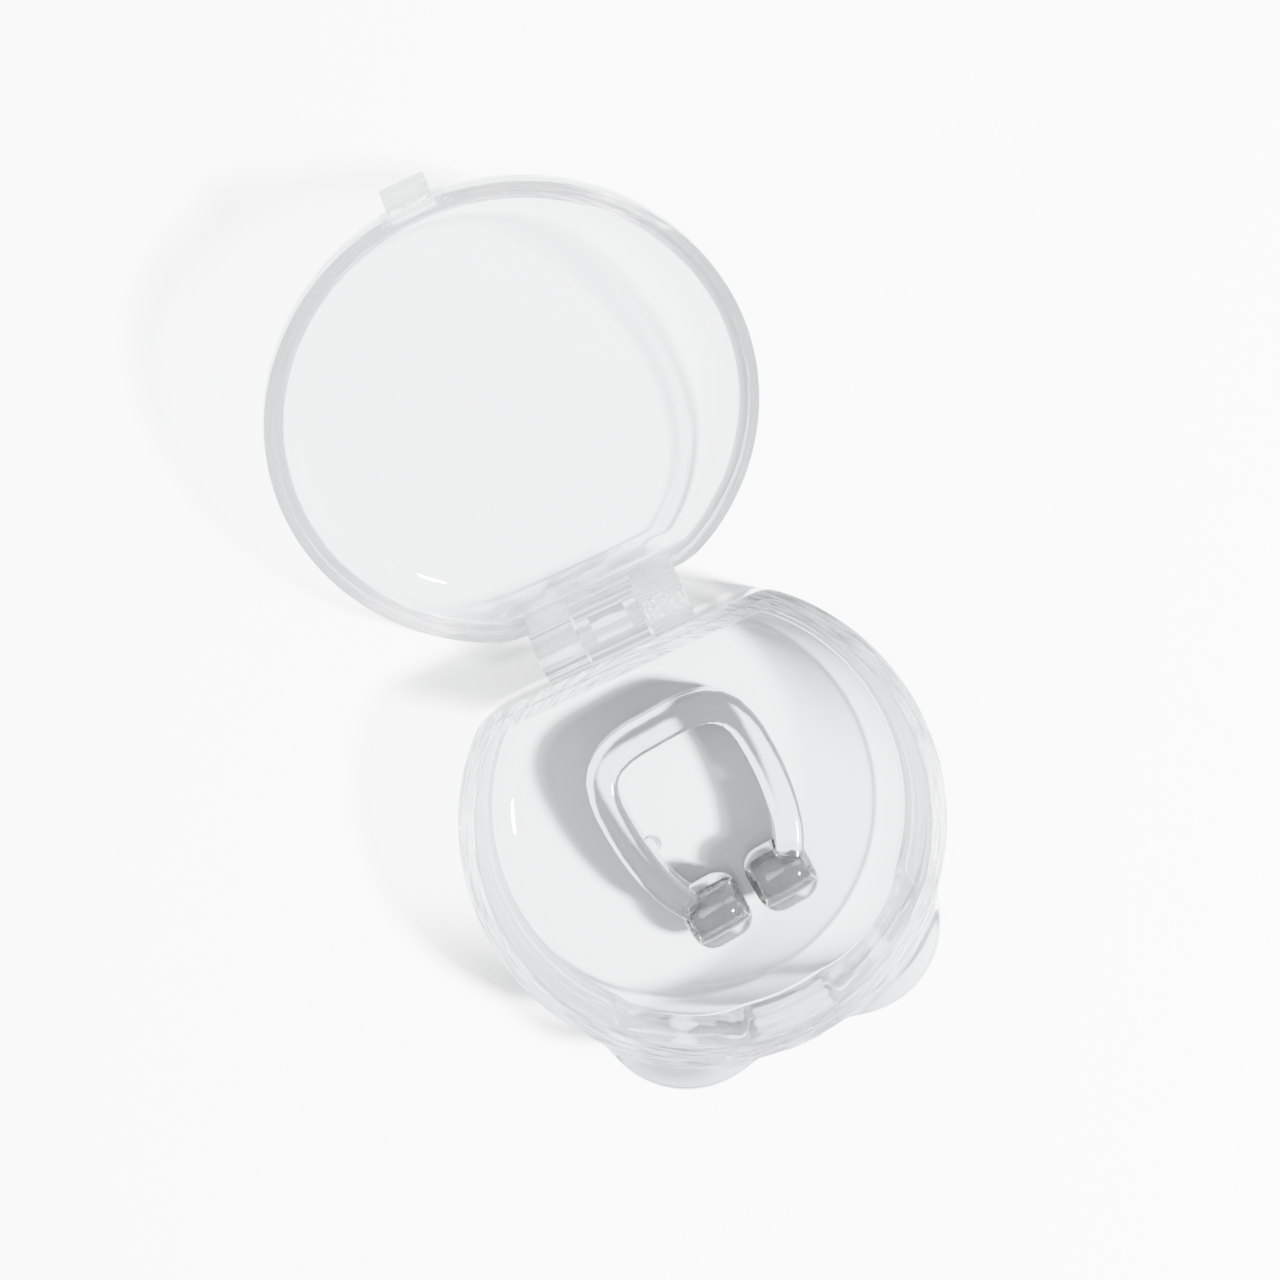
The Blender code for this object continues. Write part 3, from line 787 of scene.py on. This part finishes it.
def make_floor():
    """A plain pale matt floor."""
    floor_shape = bmesh.new()
    bmesh.ops.create_circle(floor_shape, cap_ends=True, segments=128, radius=1500)
    floor = make_object("studio_floor", moved(floor_shape, (0, 0, -FLOOR_GAP)))
    nodes = Nodes("studio_floor_paint")
    speckle = nodes.add("ShaderNodeTexNoise", {"Scale": 60.0, "Detail": 2.0})
    nodes.shader.inputs["Base Color"].default_value = (0.9, 0.905, 0.915, 1)
    nodes.link(nodes.ramp(speckle.outputs["Fac"], 0.3, 0.7, 0.75, 0.85), nodes.shader.inputs["Roughness"])
    nodes.shader.inputs["Specular IOR Level"].default_value = 0.1
    floor.data.materials.append(nodes.material)


def area_light(name, place, target, size, power):
    light = bpy.data.objects.new(name, bpy.data.lights.new(name, "AREA"))
    bpy.context.scene.collection.objects.link(light)
    light.data.shape = "DISK"
    light.data.size = size
    light.data.energy = power
    light.location = place
    light.rotation_euler = (Vector(target) - Vector(place)).to_track_quat("-Z", "Y").to_euler()
    return light


def make_lights():
    """A key light from the right of the picture, a wide soft top light and a pale surround."""
    target = (0, 0.012, 0)
    area_light("key_light", (0.37, -0.25, 0.62), target, 0.09, KEY_POWER)
    area_light("top_light", (-0.25, 0.3, 0.9), target, 0.5, TOP_POWER)
    world = bpy.data.worlds.new("surround")
    bpy.context.scene.world = world
    world.use_nodes = True
    tree = world.node_tree
    background = tree.nodes["Background"]
    coordinates = tree.nodes.new("ShaderNodeTexCoord")
    split = tree.nodes.new("ShaderNodeSeparateXYZ")
    ramp = tree.nodes.new("ShaderNodeValToRGB")
    tree.links.new(coordinates.outputs["Generated"], split.inputs[0])
    tree.links.new(split.outputs["Z"], ramp.inputs[0])
    tree.links.new(ramp.outputs[0], background.inputs["Color"])
    for element, (position, level) in zip(ramp.color_ramp.elements, SURROUND):
        element.position = position
        element.color = (level * 0.98, level * 0.99, level, 1)


# ---------------------------------------------------------------------------
# Putting it together
# ---------------------------------------------------------------------------


def main():
    plastic = {
        "tint": (0.66, 0.67, 0.69), "ior": 1.59, "haze": 0.08, "roughness": (0.0, 0.04), "waviness": 0.25,
        "shadow": (0.9, 0.9, 0.905), "edge_shadow": (0.05, 0.05, 0.055),
    }
    silicone = {
        "tint": (0.86, 0.865, 0.875), "ior": 1.41, "haze": 0.02, "roughness": (0.02, 0.09), "waviness": 0.3,
        "shadow": (0.08, 0.081, 0.085), "edge_shadow": (0.02, 0.02, 0.022),
    }
    turn = Matrix.Rotation(LID_OPEN, 3, "X")
    hinge = Vector((0, HINGE_Y * MM, HINGE_Z * MM))
    base_rim, lid_rim = ((0, 0, 0), (0, 0, 0)), ((LID_OPEN, 0, 0), hinge - turn @ hinge)
    tab = ((-2.5, 49.0, 18.0), (2.5, 53.0, 24.0))
    right_arm = ((2.6, 13.0, 4.5), (6.4, 19.5, 12.0))
    # rim_shade sets the painted shade on the stepped rims: deep on the base, faint on the lid.
    base_plastic = clear_material("clear_polystyrene_base", rim=base_rim, rim_shade=0.2, **plastic)
    lid_plastic = clear_material(
        "clear_polystyrene_lid", rim=lid_rim, rim_shade=0.8, frosted=(tab, right_arm), **plastic
    )
    dress(make_base(), base_plastic, "base", "case_base")
    dress(make_lid(), lid_plastic, "lid", "case_lid")
    dress(make_clip(), clear_material("clear_silicone", **silicone), "clip", "nose_clip")
    for side, name in ((-1, "left"), (1, "right")):
        nickel = nickel_material(f"nickel_{name}")
        dress(make_magnet(side, name), nickel, "clip", f"magnet_{name}")
    make_floor()
    make_lights()
    make_camera()


main()
